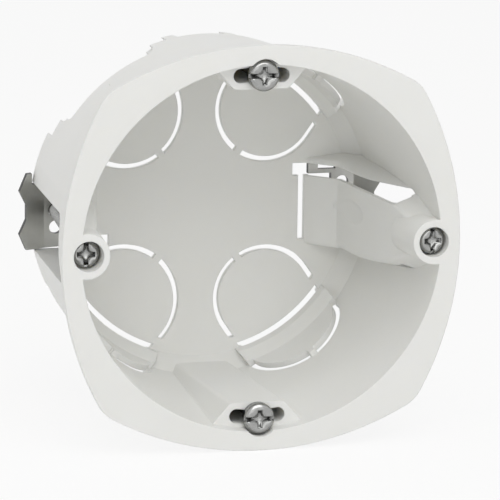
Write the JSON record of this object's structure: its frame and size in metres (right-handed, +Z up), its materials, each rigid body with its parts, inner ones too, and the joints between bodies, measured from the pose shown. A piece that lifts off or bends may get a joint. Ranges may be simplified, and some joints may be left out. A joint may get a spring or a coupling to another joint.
{
  "type": "flush mounting box",
  "caption": "Round flush mounting box for hollow walls, with square flange, corner knock-outs, fixing claws and device screws.",
  "frame": {"origin": "on the box's axis, in the plane of the flange's back face, which rests on the wall", "axes": "+X to the right seen from the front, +Y along the box's axis into the wall, +Z up"},
  "size_m": [0.0708, 0.0445, 0.0708],
  "materials": {
    "moulding": "satin moulded, light grey",
    "claw_steel": "dark phosphated sheet steel",
    "screw_zinc": "bright zinc plate"
  },
  "bodies": {
    "box": {"mounting_box": "moulding"},
    "left_claw": {"claw_left": "claw_steel"},
    "right_claw": {"claw_right": "claw_steel"},
    "left_claw_screw": {"claw_screw_left": "screw_zinc"},
    "right_claw_screw": {"claw_screw_right": "screw_zinc"},
    "top_screw": {"device_screw_top": "screw_zinc"},
    "bottom_screw": {"device_screw_bottom": "screw_zinc"}
  },
  "joints": [
    {"name": "left_screw_turn", "type": "hinge", "parent": "box", "child": "left_claw_screw", "pos_m": [-0.03075, 0.0008, 0], "axis": [0.1057, 0.9944, 0], "range_deg": [0, 14400]},
    {"name": "left_claw_travel", "type": "slide", "parent": "box", "child": "left_claw", "axis": [-0.1057, -0.9944, 0], "range_m": [0, 0.028]},
    {"name": "right_screw_turn", "type": "hinge", "parent": "box", "child": "right_claw_screw", "pos_m": [0.03075, 0.0008, 0], "axis": [-0.1057, 0.9944, 0], "range_deg": [0, 14400]},
    {"name": "right_claw_travel", "type": "slide", "parent": "box", "child": "right_claw", "axis": [0.1057, -0.9944, 0], "range_m": [0, 0.028]},
    {"name": "top_screw_travel", "type": "slide", "parent": "box", "child": "top_screw", "axis": [0, -1, 0], "range_m": [0, 0.008]},
    {"name": "bottom_screw_travel", "type": "slide", "parent": "box", "child": "bottom_screw", "axis": [0, -1, 0], "range_m": [0, 0.008]}
  ],
  "couplings": [
    {"joint": "left_screw_turn", "follows": "left_claw_travel", "rad_per_m": 8976},
    {"joint": "right_screw_turn", "follows": "right_claw_travel", "rad_per_m": 8976}
  ]
}
